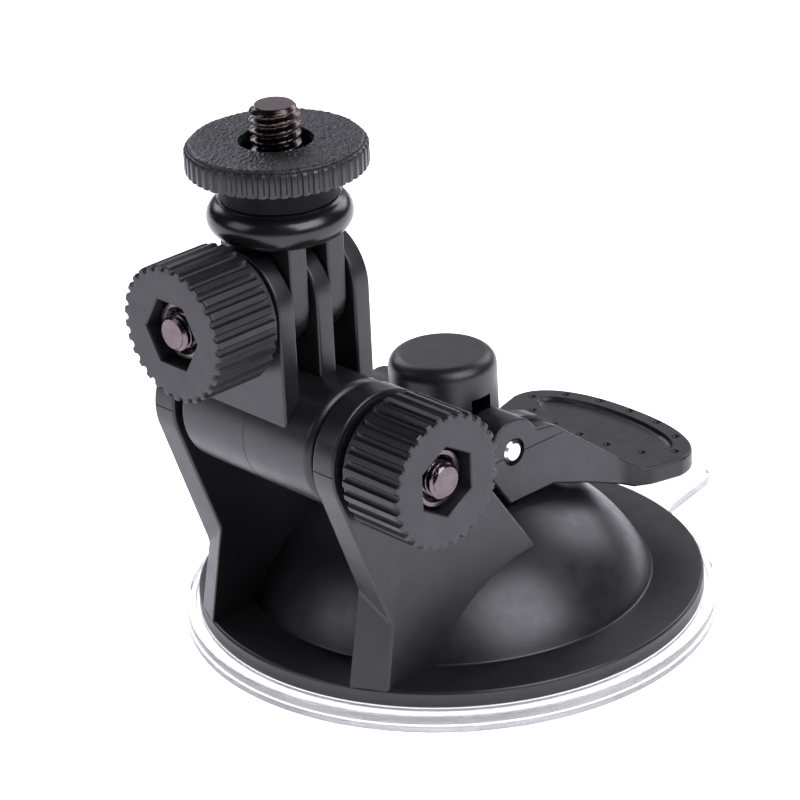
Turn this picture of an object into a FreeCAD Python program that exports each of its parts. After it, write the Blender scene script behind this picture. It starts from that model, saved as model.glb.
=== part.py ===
import FreeCAD, Part
import Sketcher
import math
import os

# Suction-cup camera mount: a lever pulls a clear cup onto a smooth surface, a barrel
# hinge tilts the arm, a clevis hinge tilts the head, and the head ends in a tripod
# screw with a thumb disc. Millimetres, +Z up. The origin is on the cup's axis, in
# the plane of the surface that the cup sticks to. The tilt axis runs along X and
# the lever points along +Y.

Vector = FreeCAD.Vector
Rotation = FreeCAD.Rotation

DIMENSIONS = (
    ("cup_radius", 35.8, "outside of the clear cup"),
    ("cup_seal_radius", 27.0, "inside of the flat sealing ring"),
    ("cup_crown_radius", 13.0, "flat middle of the cup"),
    ("cup_lift", 2.4, "height of the cup's middle above the surface when locked"),
    ("cup_wall", 2.5, "thickness of the cup"),
    ("cup_edge", 0.9, "rounding of the cup's rim"),
    ("tab_root", 34.6, "where the pull tab leaves the cup"),
    ("tab_tip", 46.4, "end of the pull tab"),
    ("tab_rise", 2.3, "how far the tab's tip lifts"),
    ("tab_wall", 1.9, "thickness of the pull tab"),
    ("tab_width", 12.4, "width of the pull tab"),
    ("flange_radius", 33.9, "outside of the base ring"),
    ("flange_bottom", 2.6, "underside of the base ring"),
    ("flange_top", 4.9, "top of the base ring"),
    ("dome_radius", 26.9, "foot of the dome"),
    ("dome_bend", 23.0, "curve of the dome's slope"),
    ("shoulder_radius", 16.9, "upper edge of the dome's slope"),
    ("shoulder_height", 15.3, "height of that edge"),
    ("deck_radius", 11.5, "flat deck round the tower"),
    ("deck_height", 18.2, "height of the deck"),
    ("tower_foot", 7.3, "radius of the tower at the deck"),
    ("tower_radius", 7.15, "radius of the tower at its top"),
    ("tower_height", 37.1, "top of the tower"),
    ("tower_round", 1.3, "rounding of the tower's top"),
    ("cavity_mouth", 27.3, "inside of the base ring at its underside"),
    ("cavity_radius", 24.6, "inside of the dome at its foot"),
    ("cavity_shoulder", 14.9, "inside of the dome's slope at its top"),
    ("cavity_bend", 13.4, "height of that edge"),
    ("ceiling_radius", 12.2, "flat ceiling inside the dome"),
    ("ceiling_height", 16.0, "height of the ceiling"),
    ("bore_top", 34.9, "end of the stem's bore in the tower"),
    ("slot_half", 1.7, "half the width of the pin slot through the tower"),
    ("slot_bottom", 21.2, "lower end of the pin slot"),
    ("slot_top", 32.5, "upper end of the pin slot"),
    ("stem_radius", 4.0, "lifting stem"),
    ("stem_gap", 0.06, "running clearance of the stem and the pins"),
    ("stem_top", 33.2, "top of the stem"),
    ("plate_radius", 11.8, "plate at the stem's foot, bonded to the cup"),
    ("plate_top", 6.9, "top of that plate"),
    ("spring_radius", 6.4, "mean radius of the return spring"),
    ("spring_wire", 0.5, "radius of the spring's wire"),
    ("spring_halves", 9, "half turns of the spring"),
    ("spring_washer", 0.5, "thickness of the washer above the spring"),
    ("pin_height", 26.4, "lever pin above the surface"),
    ("pin_radius", 1.5, "lever pin"),
    ("pin_reach", 12.55, "half the length of the lever pin"),
    ("pin_sink_radius", 1.9, "countersink round the pin"),
    ("pin_sink", 0.7, "depth of that countersink"),
    ("hub_outer", 12.8, "outer face of the lever's hubs"),
    ("hub_inner", 7.45, "inner face of the lever's hubs"),
    ("fork_inner", 9.2, "inner face of the lever's arms at the paddle"),
    ("fork_flare", 14.5, "where the arms reach that spread"),
    ("hub_radius", 4.6, "round of the lever's hubs"),
    ("hub_foot", 19.1, "underside of the hubs"),
    ("paddle_near", 23.4, "edge of the paddle facing the tower"),
    ("paddle_top", 15.8, "face of the paddle"),
    ("paddle_bottom", 13.2, "underside of the paddle"),
    ("paddle_half", 15.9, "half the paddle's width"),
    ("paddle_tip", 36.4, "far edge of the paddle"),
    ("paddle_middle", 30.3, "centre of the paddle's dished oval"),
    ("dish_half", 12.2, "half the length of the dished oval"),
    ("dish_breadth", 3.9, "half the breadth of the dished oval"),
    ("dish_depth", 0.9, "depth of the dished oval"),
    ("axis_back", 26.6, "tilt axis in front of the cup's axis"),
    ("axis_height", 36.8, "tilt axis above the surface"),
    ("eye_radius", 8.7, "cheek round the tilt bolt"),
    ("cheek_inner", 13.0, "inner face of the cheeks"),
    ("cheek_wall", 3.9, "thickness of the cheeks"),
    ("foot_lean", 9.8, "slope of the cheek's front wall, degrees"),
    ("notch_front", 28.8, "foot of the cheek's strut, in front of the cup's axis"),
    ("notch_height", 17.7, "height of that notch"),
    ("heel_front", 1.2, "rear foot of the strut"),
    ("heel_height", 15.4, "height of the rear foot"),
    ("barrel_radius", 8.45, "barrel between the cheeks"),
    ("barrel_half", 12.3, "half the barrel's length"),
    ("barrel_round", 1.2, "rounding of the barrel's ends"),
    ("arm_rise", 17.9, "head hinge above the tilt axis"),
    ("ear_pitch", 6.3, "spacing of the lower ears"),
    ("ear_wall", 2.7, "thickness of the lower ears"),
    ("ear_half", 7.45, "half width of the lower ears"),
    ("tongue_wall", 3.0, "thickness of the head's ears"),
    ("tongue_half", 6.5, "half width of the head's ears"),
    ("bulge_bottom", 8.3, "underside of the head's collar above its hinge"),
    ("bulge_top", 12.9, "top of the collar"),
    ("bulge_radius", 9.05, "widest part of the collar"),
    ("bulge_face", 7.2, "flat underside of the collar"),
    ("neck_radius", 7.5, "neck under the thumb disc"),
    ("neck_top", 16.3, "top of the neck above the hinge"),
    ("disc_gap", 0.1, "gap between neck and thumb disc"),
    ("disc_radius", 11.45, "thumb disc"),
    ("disc_top", 19.9, "top of the thumb disc above the hinge"),
    ("disc_well", 4.6, "countersunk well round the screw"),
    ("disc_floor", 17.6, "floor of that well above the hinge"),
    ("pad_radius", 10.4, "rubber pad on the disc"),
    ("pad_wall", 0.7, "thickness of the pad"),
    ("pad_proud", 0.15, "how far the pad stands above the disc"),
    ("disc_teeth", 52, "serrations round the thumb disc"),
    ("disc_tooth", 0.32, "radius of each serration's groove"),
    ("screw_radius", 3.175, "quarter-inch camera screw"),
    ("shank_radius", 3.0, "the screw inside the head and the disc"),
    ("shank_top", 20.15, "top of that stretch above the hinge"),
    ("screw_foot", 11.0, "foot of the screw above the hinge"),
    ("screw_top", 24.6, "top of the screw above the hinge"),
    ("screw_chamfer", 0.45, "chamfer of the screw's tip"),
    ("screw_gap", 0.08, "clearance round the screw's thread"),
    ("bolt_radius", 2.5, "hinge bolts, M5"),
    ("bolt_tip", 0.8, "chamfer of the bolts' tips"),
    ("head_flats", 8.0, "width across flats of heads and nuts"),
    ("recess_flats", 8.16, "width across flats of their recesses"),
    ("head_wall", 1.4, "thickness of the bolt heads"),
    ("recess_depth", 1.5, "depth of the recesses for the bolt heads"),
    ("washer_radius", 6.0, "steel washers under the knobs"),
    ("washer_wall", 0.6, "thickness of those washers"),
    ("friction_radius", 5.8, "friction washers beside the barrel"),
    ("friction_wall", 0.6, "thickness of the friction washers"),
    ("knob_radius", 8.9, "thumb knobs"),
    ("knob_length", 10.4, "length of a knob"),
    ("knob_collar", 8.0, "radius of the plain collar at its back"),
    ("knob_step", 0.9, "length of that collar"),
    ("knob_teeth", 30, "serrations round a knob"),
    ("knob_tooth", 0.5, "radius of each serration's groove"),
    ("nut_seat", 4.8, "floor of the nut's recess above the knob's back"),
    ("nut_wall", 4.0, "thickness of a nut"),
    ("bolt_short", 0.1, "how far a bolt ends short of its knob's face"),
    ("seat_gap", 0.05, "gap left beside a turning knob"),
)

LEVER_SIDE = (
    # the cam under the hubs, then the underside out to the paddle's tip
    ("hub_cam", 0.9), ("cam_heel", 7.2), ("arm_low_reach", 14.0), ("arm_low", 16.6),
    ("web_reach", 20.0), ("web_low", 14.1), ("paddle_root", 22.2),
    # the top, from the paddle back up to the hubs
    ("slope_foot", 23.3), ("slope_top", 7.1), ("slope_height", 28.0),
    ("hub_back", 4.3), ("hub_back_height", 28.1), ("hub_front_height", 24.6),
)
LEVER_PLAN = (
    # the arms' outside from hub to paddle, and the paddle's round corners
    ("arm_straight", 7.0), ("arm_wide", 12.4), ("arm_wide_reach", 20.6),
    ("corner_wide", 14.5), ("corner_reach", 24.4), ("side_reach", 29.6),
    ("tip_corner", 11.0), ("tip_corner_reach", 34.5),
    ("side_bend", 10.0), ("tip_bend", 5.4), ("far_bend", 32.8), ("hub_clear", 8.0),
)

BROKEN_STATES = {"Invalid", "Error"}


def make_sheet(doc):
    """Keep the driving dimensions in a spreadsheet, one alias a row."""
    sheet = doc.addObject("Spreadsheet::Sheet", "Dimensions")
    for row, (alias, size, note) in enumerate(DIMENSIONS, start=1):
        sheet.set(f"A{row}", note)
        sheet.set(f"B{row}", str(size))
        sheet.setAlias(f"B{row}", alias)
    doc.recompute()
    return sheet


def number(sheet, text):
    """Size of a signed sum of aliases, such as 'deck_height - plate_top'."""
    total = 0.0
    sign = 1.0
    for word in text.split():
        if word in ("+", "-"):
            sign = 1.0 if word == "+" else -1.0
        else:
            total += sign * float(sheet.get(word))
            sign = 1.0
    return total


def bound(text):
    """The same sum as an expression on the spreadsheet."""
    words = [word if word in ("+", "-") else f"Dimensions.{word}" for word in text.split()]
    return " ".join(words)


def add_dimensions(sheet, column, rows):
    """Further driving dimensions, kept in their own column."""
    for row, (alias, size) in enumerate(rows, start=1):
        sheet.set(f"{column}{row}", str(size))
        sheet.setAlias(f"{column}{row}", alias)
    sheet.Document.recompute()


def tangent_point(corner_y, corner_z, centre_y, centre_z, radius, side):
    """Where a line from a corner touches a circle."""
    reach = math.hypot(centre_y - corner_y, centre_z - corner_z)
    swing = math.acos(radius / reach)
    turn = math.atan2(corner_z - centre_z, corner_y - centre_y) + side * swing
    return centre_y + radius * math.cos(turn), centre_z + radius * math.sin(turn)


def hexagon_sizes(sheet, name):
    """Half the width across flats, and the corners' distances from the centre."""
    half = number(sheet, f"{name}_flats") / 2
    corner = half / math.cos(math.radians(30))
    return (f"{name}_half", half), (f"{name}_corner", corner), (f"{name}_corner_half", corner / 2)


def derived_dimensions(sheet):
    """Halves, lengths and tangent points that follow from the driving dimensions."""
    knob_reach = number(sheet, "washer_wall + seat_gap + seat_gap + knob_length - bolt_short")
    cheek_face = number(sheet, "cheek_inner + cheek_wall")
    ears = number(sheet, "ear_pitch + ear_pitch + ear_wall")
    middle = number(sheet, "bulge_bottom + bulge_top") / 2
    rise = number(sheet, "bulge_top") - middle
    inset = number(sheet, "bulge_radius - bulge_face")
    lean = math.tan(math.radians(number(sheet, "foot_lean")))
    eye = (number(sheet, "- axis_back"), number(sheet, "axis_height"), number(sheet, "eye_radius"))
    notch = (number(sheet, "- notch_front"), number(sheet, "notch_height"))
    heel = (number(sheet, "- heel_front"), number(sheet, "heel_height"))
    front = tangent_point(*notch, *eye, -1)
    rear = tangent_point(*heel, *eye, 1)
    add_dimensions(sheet, "F", (
        ("ear_wall_half", number(sheet, "ear_wall") / 2),
        ("tongue_near", number(sheet, "ear_pitch") / 2 - number(sheet, "tongue_wall") / 2),
        ("bulge_middle", middle),
        ("bulge_bend", (rise ** 2 + inset ** 2) / (2 * inset)),
        ("lower_grip", 2 * cheek_face - number(sheet, "recess_depth") + knob_reach),
        ("upper_grip", ears - number(sheet, "recess_depth") + knob_reach),
        *hexagon_sizes(sheet, "head"),
        *hexagon_sizes(sheet, "recess"),
        ("foot_shrink", number(sheet, "notch_height - flange_top") * lean),
        ("front_touch", -front[0]),
        ("front_touch_height", front[1]),
        ("rear_touch", -rear[0]),
        ("rear_touch_height", rear[1]),
    ))


def new_body(doc, label):
    body = doc.addObject("PartDesign::Body", f"Body_{label}")
    body.Label = label
    return body


def place(obj, x="", y="", z="", rotation=None):
    """Put an object at sums of dimensions, turned by a fixed rotation."""
    if rotation:
        obj.Placement.Rotation = rotation
    for axis, text in (("x", x), ("y", y), ("z", z)):
        if text:
            obj.setExpression(f"Placement.Base.{axis}", bound(text))


def new_sketch(body, name, plane, offset=""):
    """A sketch on one of the body's own origin planes, moved along its normal."""
    support = next(item for item in body.Origin.OriginFeatures if item.Role == plane)
    sketch = body.newObject("Sketcher::SketchObject", name)
    sketch.AttachmentSupport = [(support, "")]
    sketch.MapMode = "FlatFace"
    if offset:
        sketch.setExpression(".AttachmentOffset.Base.z", bound(offset))
    return sketch


def arc_through(start, end, radius, side):
    """Arc of a radius from start to end, bulging to the right (+1) or left (-1)."""
    chord = end - start
    half = chord.Length / 2
    across = Vector(chord.y, -chord.x, 0).normalize()
    sagitta = radius - math.sqrt(max(radius ** 2 - half ** 2, 0.0))
    middle = (start + end) * 0.5 + across * (side * sagitta)
    return Part.Arc(start, middle, end)


def pin_point(sheet, sketch, geometry, which, corner, tag):
    """Hold one end of a sketch edge at a corner's two sums."""
    for axis, reference, text in (("X", -2, corner[0]), ("Y", -1, corner[1])):
        if text:
            size = number(sheet, text)
            rule = Sketcher.Constraint(f"Distance{axis}", -1, 1, geometry, which, size)
            sketch.renameConstraint(sketch.addConstraint(rule), f"{tag}{axis}")
            sketch.setExpression(f"Constraints.{tag}{axis}", bound(text))
        else:
            sketch.addConstraint(Sketcher.Constraint("PointOnObject", geometry, which, reference))


def outline(sheet, sketch, corners, tag="p"):
    """Closed outline through corners (x, y[, radius, side]); a radius bends the edge after it."""
    points = [Vector(number(sheet, c[0]), number(sheet, c[1]), 0) for c in corners]
    ends = []
    for index, corner in enumerate(corners):
        start = points[index]
        end = points[(index + 1) % len(points)]
        if len(corner) == 2:
            added = sketch.addGeometry(Part.LineSegment(start, end), False)
        else:
            radius = number(sheet, corner[2])
            added = sketch.addGeometry(arc_through(start, end, radius, corner[3]), False)
        first = sketch.getPoint(added, 1)
        forward = (first - start).Length < (first - end).Length
        ends.append((added, 1 if forward else 2, 2 if forward else 1))
    for index, (added, near, _far) in enumerate(ends):
        before = ends[index - 1]
        sketch.addConstraint(Sketcher.Constraint("Coincident", before[0], before[2], added, near))
        pin_point(sheet, sketch, added, near, corners[index], f"{tag}{index}")
    for index, corner in enumerate(corners):
        if len(corner) > 2:
            added = ends[index][0]
            rule = Sketcher.Constraint("Radius", added, number(sheet, corner[2]))
            sketch.renameConstraint(sketch.addConstraint(rule), f"{tag}{index}Bend")
            sketch.setExpression(f"Constraints.{tag}{index}Bend", bound(corner[2]))


def circle(sheet, sketch, radius, x="", y="", tag="c"):
    """A circle whose centre and radius are sums of dimensions."""
    centre = Vector(number(sheet, x), number(sheet, y), 0)
    ring = Part.Circle(centre, Vector(0, 0, 1), number(sheet, radius))
    added = sketch.addGeometry(ring, False)
    pin_point(sheet, sketch, added, 3, (x, y), tag)
    rule = Sketcher.Constraint("Radius", added, number(sheet, radius))
    sketch.renameConstraint(sketch.addConstraint(rule), f"{tag}Radius")
    sketch.setExpression(f"Constraints.{tag}Radius", bound(radius))


def hexagon(sheet, sketch, name, x="", y="", upright=False):
    """A hexagon round a centre, with corners on the sketch's first axis or, upright, its second."""
    spots = (
        (f"+ {name}_corner", ""),
        (f"+ {name}_corner_half", f"+ {name}_half"),
        (f"- {name}_corner_half", f"+ {name}_half"),
        (f"- {name}_corner", ""),
        (f"- {name}_corner_half", f"- {name}_half"),
        (f"+ {name}_corner_half", f"- {name}_half"),
    )
    if upright:
        spots = [(right, up) for up, right in spots]
    outline(sheet, sketch, [(f"{x} {right}".strip(), f"{y} {up}".strip()) for right, up in spots])


def feature(body, kind, name, sketch, length="", both_ways=False, reverse=False):
    """A pad or pocket; without a length it goes right through."""
    made = body.newObject(f"PartDesign::{kind}", name)
    made.Profile = sketch
    if length:
        made.setExpression("Length", bound(length))
    else:
        made.Type = "ThroughAll"
    if both_ways:
        made.SideType = "Symmetric"
    made.Reversed = reverse
    return made


def turned(body, kind, name, sketch, axis="V_Axis"):
    """A revolution or groove right round one of the sketch's axes."""
    made = body.newObject(f"PartDesign::{kind}", name)
    made.Profile = sketch
    made.ReferenceAxis = (sketch, [axis])
    made.Angle = 360.0
    return made


def mirrored(body, name, original, plane="YZ_Plane"):
    support = next(item for item in body.Origin.OriginFeatures if item.Role == plane)
    made = body.newObject("PartDesign::Mirrored", name)
    made.Originals = [original]
    made.MirrorPlane = (support, [""])
    body.Tip = made
    return made


def polar(body, name, original, count):
    axis = next(item for item in body.Origin.OriginFeatures if item.Role == "Z_Axis")
    made = body.newObject("PartDesign::PolarPattern", name)
    made.Originals = [original]
    made.Axis = (axis, [""])
    made.Angle = 360.0
    made.setExpression("Occurrences", bound(count))
    body.Tip = made
    return made


def cylinder(doc, name, radius, height):
    made = doc.addObject("Part::Cylinder", name)
    made.setExpression("Radius", bound(radius))
    made.setExpression("Height", bound(height))
    return made


def cut(doc, label, base, tool):
    made = doc.addObject("Part::Cut", f"Cut_{label}")
    made.Base = base
    made.Tool = tool
    made.Label = label
    return made


def ring(doc, label, outer, inner, height):
    """A plain washer along +Z."""
    blank = cylinder(doc, f"{label}_blank", outer, height)
    hole = cylinder(doc, f"{label}_hole", inner, height)
    return cut(doc, label, blank, hole)


def suction_cup(doc, sheet):
    """Clear cup, drawn up in the middle as it is when locked, with its pull tab."""
    body = new_body(doc, "suction_cup")
    profile = new_sketch(body, "CupProfile", "XZ_Plane")
    outline(sheet, profile, (
        ("", "cup_lift"),
        ("cup_crown_radius", "cup_lift"),
        ("cup_seal_radius", ""),
        ("cup_radius - cup_edge", "", "cup_edge", 1),
        ("cup_radius", "cup_edge"),
        ("cup_radius", "cup_wall - cup_edge", "cup_edge", 1),
        ("cup_radius - cup_edge", "cup_wall"),
        ("cup_seal_radius", "cup_wall"),
        ("cup_crown_radius", "cup_lift + cup_wall"),
        ("", "cup_lift + cup_wall"),
    ))
    turned(body, "Revolution", "Cup", profile)
    side = new_sketch(body, "TabSide", "YZ_Plane")
    outline(sheet, side, (
        ("tab_root - cup_edge", "cup_edge"),
        ("tab_tip", "tab_rise"),
        ("tab_tip", "tab_rise + tab_wall"),
        ("tab_root - cup_edge", "cup_wall"),
    ))
    feature(body, "Pad", "Tab", side, "tab_width", both_ways=True)
    return body


def base_revolution(sheet, body):
    """Ring, dome, deck and tower with the hollow underneath, as one turned section."""
    profile = new_sketch(body, "HousingProfile", "XZ_Plane")
    outline(sheet, profile, (
        ("cavity_mouth", "flange_bottom"),
        ("flange_radius", "flange_bottom"),
        ("flange_radius", "flange_top"),
        ("dome_radius", "flange_top", "dome_bend", 1),
        ("shoulder_radius", "shoulder_height"),
        ("deck_radius", "deck_height"),
        ("tower_foot", "deck_height"),
        ("tower_radius", "tower_height - tower_round", "tower_round", 1),
        ("tower_radius - tower_round", "tower_height"),
        ("", "tower_height"),
        ("", "bore_top"),
        ("stem_radius + stem_gap", "bore_top"),
        ("stem_radius + stem_gap", "ceiling_height"),
        ("ceiling_radius", "ceiling_height"),
        ("cavity_shoulder", "cavity_bend"),
        ("cavity_radius", "flange_top"),
    ))
    turned(body, "Revolution", "Housing", profile)


def cheek_feet(sheet, body):
    """Lower parts of the two cheeks, trimmed to a cone that rises from the ring's edge."""
    foot = new_sketch(body, "CheekFootSide", "YZ_Plane", "cheek_inner")
    outline(sheet, foot, (
        ("- flange_radius", "flange_top"),
        ("- dome_radius + cheek_wall", "flange_top"),
        ("- deck_radius", "notch_height"),
        ("- flange_radius", "notch_height"),
    ))
    pad = feature(body, "Pad", "CheekFoot", foot, "cheek_wall")
    mirrored(body, "CheekFootTwin", pad)
    trim = new_sketch(body, "FootTrim", "XZ_Plane")
    outline(sheet, trim, (
        ("flange_radius", "flange_top"),
        ("flange_radius + cup_radius", "flange_top"),
        ("flange_radius + cup_radius", "notch_height"),
        ("flange_radius - foot_shrink", "notch_height"),
    ))
    turned(body, "Groove", "FootCone", trim)


def cheek_struts(sheet, body):
    """Leaning struts that end in the eyes round the tilt bolt."""
    strut = new_sketch(body, "StrutSide", "YZ_Plane", "cheek_inner")
    outline(sheet, strut, (
        ("- heel_front", "heel_height"),
        ("- rear_touch", "rear_touch_height", "eye_radius", 1),
        ("- axis_back", "axis_height + eye_radius", "eye_radius", 1),
        ("- axis_back - eye_radius", "axis_height", "eye_radius", 1),
        ("- front_touch", "front_touch_height"),
        ("- notch_front", "notch_height"),
        ("- dome_radius + cheek_wall", "flange_top"),
        ("- heel_front", "flange_top + cheek_wall"),
    ))
    pad = feature(body, "Pad", "Strut", strut, "cheek_wall")
    mirrored(body, "StrutTwin", pad)


def base_cuts(sheet, body):
    """Slot for the lever pin, tilt bolt's holes and the recess for its head."""
    slot = new_sketch(body, "PinSlot", "YZ_Plane")
    outline(sheet, slot, (
        ("- slot_half", "slot_bottom"),
        ("slot_half", "slot_bottom"),
        ("slot_half", "slot_top"),
        ("- slot_half", "slot_top"),
    ))
    feature(body, "Pocket", "PinSlotCut", slot, "cheek_inner + cheek_wall", both_ways=True)
    hole = new_sketch(body, "BoltHole", "YZ_Plane")
    circle(sheet, hole, "bolt_radius + stem_gap", "- axis_back", "axis_height")
    feature(body, "Pocket", "BoltHoleCut", hole, both_ways=True)
    recess = new_sketch(body, "HeadRecess", "YZ_Plane", "- cheek_inner - cheek_wall")
    hexagon(sheet, recess, "recess", "- axis_back", "axis_height", upright=True)
    feature(body, "Pocket", "HeadRecessCut", recess, "recess_depth", reverse=True)


def base_housing(doc, sheet):
    body = new_body(doc, "base_housing")
    base_revolution(sheet, body)
    cheek_feet(sheet, body)
    cheek_struts(sheet, body)
    base_cuts(sheet, body)
    return body


def cup_stem(doc, sheet):
    """Stem that the lever's pin lifts, on the plate bonded to the cup."""
    body = new_body(doc, "cup_stem")
    profile = new_sketch(body, "StemProfile", "XZ_Plane")
    outline(sheet, profile, (
        ("", "cup_lift + cup_wall"),
        ("plate_radius", "cup_lift + cup_wall"),
        ("plate_radius", "plate_top"),
        ("stem_radius", "plate_top"),
        ("stem_radius", "stem_top"),
        ("", "stem_top"),
    ))
    turned(body, "Revolution", "Stem", profile)
    hole = new_sketch(body, "PinHole", "YZ_Plane")
    circle(sheet, hole, "pin_radius", "", "pin_height")
    feature(body, "Pocket", "PinHoleCut", hole, both_ways=True)
    return body


def half_coil(radius, wire, rise, level, side):
    """Half a turn of round wire, drawn as an arc in a plane that leans to climb by the rise."""
    start = Vector(side * radius, 0, level)
    section = Part.Face(Part.Wire([Part.makeCircle(wire, start, Vector(0, 1, 0))]))
    centre = Vector(0, 0, level + rise / 2)
    return section.revolve(centre, Vector(side * rise / 2, 0, radius), 180)


def stem_spring(doc, sheet):
    """Return spring between the stem's plate and the washer under the ceiling."""
    wire = number(sheet, "spring_wire")
    bottom = number(sheet, "plate_top + seat_gap + spring_wire")
    top = number(sheet, "ceiling_height - spring_washer - seat_gap - spring_wire")
    halves = int(number(sheet, "spring_halves"))
    rise = (top - bottom) / halves
    coils = [half_coil(number(sheet, "spring_radius"), wire, rise, bottom + index * rise,
                       1 if index % 2 == 0 else -1) for index in range(halves)]
    spring = doc.addObject("Part::Feature", "stem_spring")
    spring.Shape = coils[0].multiFuse(coils[1:])
    return spring


def spring_washer(doc, sheet):
    washer = ring(doc, "spring_washer", "spring_radius + spring_wire + spring_wire",
                  "stem_radius + stem_gap + stem_gap", "spring_washer")
    place(washer, z="ceiling_height - spring_washer")
    return washer


def lever_pin(doc, sheet):
    pin = cylinder(doc, "lever_pin", "pin_radius", "pin_reach + pin_reach")
    pin.Label = "lever_pin"
    place(pin, x="- pin_reach", z="pin_height", rotation=Rotation(Vector(0, 1, 0), 90))
    return pin


def lever_blank(sheet, body):
    """Side view of hubs, arms and paddle, full width."""
    side = new_sketch(body, "LeverSide", "YZ_Plane")
    outline(sheet, side, (
        ("- hub_cam", "hub_foot"),
        ("cam_heel", "hub_foot"),
        ("arm_low_reach", "arm_low"),
        ("web_reach", "web_low"),
        ("paddle_root", "paddle_bottom"),
        ("paddle_tip", "paddle_bottom"),
        ("paddle_tip", "paddle_top"),
        ("slope_foot", "paddle_top"),
        ("slope_top", "slope_height"),
        ("hub_back", "hub_back_height", "hub_radius", 1),
        ("", "pin_height + hub_radius", "hub_radius", 1),
        ("- hub_radius", "pin_height"),
        ("- hub_radius", "hub_front_height"),
    ))
    feature(body, "Pad", "LeverBlank", side, "paddle_half + paddle_half", both_ways=True)
    plan = new_sketch(body, "LeverPlan", "XY_Plane")
    outline(sheet, plan, (
        ("hub_outer", "- hub_clear"),
        ("hub_outer", "arm_straight"),
        ("arm_wide", "arm_wide_reach"),
        ("corner_wide", "corner_reach", "side_bend", 1),
        ("paddle_half", "side_reach", "tip_bend", 1),
        ("tip_corner", "tip_corner_reach", "far_bend", 1),
        ("- tip_corner", "tip_corner_reach", "tip_bend", 1),
        ("- paddle_half", "side_reach", "side_bend", 1),
        ("- corner_wide", "corner_reach"),
        ("- arm_wide", "arm_wide_reach"),
        ("- hub_outer", "arm_straight"),
        ("- hub_outer", "- hub_clear"),
    ))
    outline(sheet, plan, (
        ("- cup_radius", "- cup_radius"),
        ("cup_radius", "- cup_radius"),
        ("cup_radius", "cup_radius + cup_radius"),
        ("- cup_radius", "cup_radius + cup_radius"),
    ), "q")
    feature(body, "Pocket", "LeverPlanCut", plan, both_ways=True)


def lever_cuts(sheet, body):
    """Fork round the tower, dished oval, and the pin's hole with its countersinks."""
    fork = new_sketch(body, "Fork", "XY_Plane")
    outline(sheet, fork, (
        ("hub_inner", "- hub_clear"),
        ("hub_inner", "arm_straight"),
        ("fork_inner", "fork_flare"),
        ("fork_inner", "paddle_near"),
        ("- fork_inner", "paddle_near"),
        ("- fork_inner", "fork_flare"),
        ("- hub_inner", "arm_straight"),
        ("- hub_inner", "- hub_clear"),
    ))
    feature(body, "Pocket", "ForkCut", fork, both_ways=True)
    dish = new_sketch(body, "Dish", "XY_Plane", "paddle_top")
    middle = Vector(0, number(sheet, "paddle_middle"), 0)
    oval = Part.Ellipse(middle, number(sheet, "dish_half"), number(sheet, "dish_breadth"))
    added = dish.addGeometry(oval, False)
    pin_point(sheet, dish, added, 3, ("", "paddle_middle"), "dish")
    dish.exposeInternalGeometry(added)
    for axis, size in ((added + 1, "dish_half"), (added + 2, "dish_breadth")):
        rule = Sketcher.Constraint("Distance", axis, 2 * number(sheet, size))
        dish.renameConstraint(dish.addConstraint(rule), size)
        dish.setExpression(f"Constraints.{size}", f"Dimensions.{size} * 2")
    dish.addConstraint(Sketcher.Constraint("Horizontal", added + 1))
    feature(body, "Pocket", "DishCut", dish, "dish_depth")
    hole = new_sketch(body, "PinHole", "YZ_Plane")
    circle(sheet, hole, "pin_radius + stem_gap", "", "pin_height")
    feature(body, "Pocket", "PinHoleCut", hole, both_ways=True)
    for name, offset, reverse in (("Right", "hub_outer", False), ("Left", "- hub_outer", True)):
        sink = new_sketch(body, f"PinSink{name}", "YZ_Plane", offset)
        circle(sheet, sink, "pin_sink_radius", "", "pin_height")
        feature(body, "Pocket", f"PinSink{name}Cut", sink, "pin_sink", reverse=reverse)


def lever(doc, sheet):
    body = new_body(doc, "lever")
    lever_blank(sheet, body)
    lever_cuts(sheet, body)
    return body


def tilt_barrel(doc, sheet):
    """Barrel on the tilt bolt with three ears above it; its origin is on both hinge planes."""
    body = new_body(doc, "tilt_barrel")
    end = new_sketch(body, "BarrelSection", "XZ_Plane")
    outline(sheet, end, (
        ("- barrel_half", ""),
        ("barrel_half", ""),
        ("barrel_half", "barrel_radius - barrel_round", "barrel_round", 1),
        ("barrel_half - barrel_round", "barrel_radius"),
        ("- barrel_half + barrel_round", "barrel_radius", "barrel_round", 1),
        ("- barrel_half", "barrel_radius - barrel_round"),
    ))
    turned(body, "Revolution", "Barrel", end, "H_Axis")
    ear = new_sketch(body, "EarFace", "XZ_Plane", "ear_pitch - ear_wall_half")
    outline(sheet, ear, (
        ("- ear_half", ""),
        ("ear_half", ""),
        ("ear_half", "arm_rise", "ear_half", 1),
        ("", "arm_rise + ear_half", "ear_half", 1),
        ("- ear_half", "arm_rise"),
    ))
    pad = feature(body, "Pad", "Ear", ear, "ear_wall")
    axis = next(item for item in body.Origin.OriginFeatures if item.Role == "Y_Axis")
    row = body.newObject("PartDesign::LinearPattern", "Ears")
    row.Originals = [pad]
    row.Direction = (axis, [""])
    row.setExpression("Length", bound("ear_pitch + ear_pitch"))
    row.Occurrences = 3
    body.Tip = row
    for name, plane, height in (("Tilt", "YZ_Plane", ""), ("Swivel", "XZ_Plane", "arm_rise")):
        hole = new_sketch(body, f"{name}Hole", plane)
        circle(sheet, hole, "bolt_radius + stem_gap", "", height)
        feature(body, "Pocket", f"{name}HoleCut", hole, both_ways=True)
    recess = new_sketch(body, "HeadRecess", "XZ_Plane", "- ear_pitch - ear_wall_half")
    hexagon(sheet, recess, "recess", "", "arm_rise")
    feature(body, "Pocket", "HeadRecessCut", recess, "recess_depth", reverse=True)
    place(body, y="- axis_back", z="axis_height")
    return body


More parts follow.
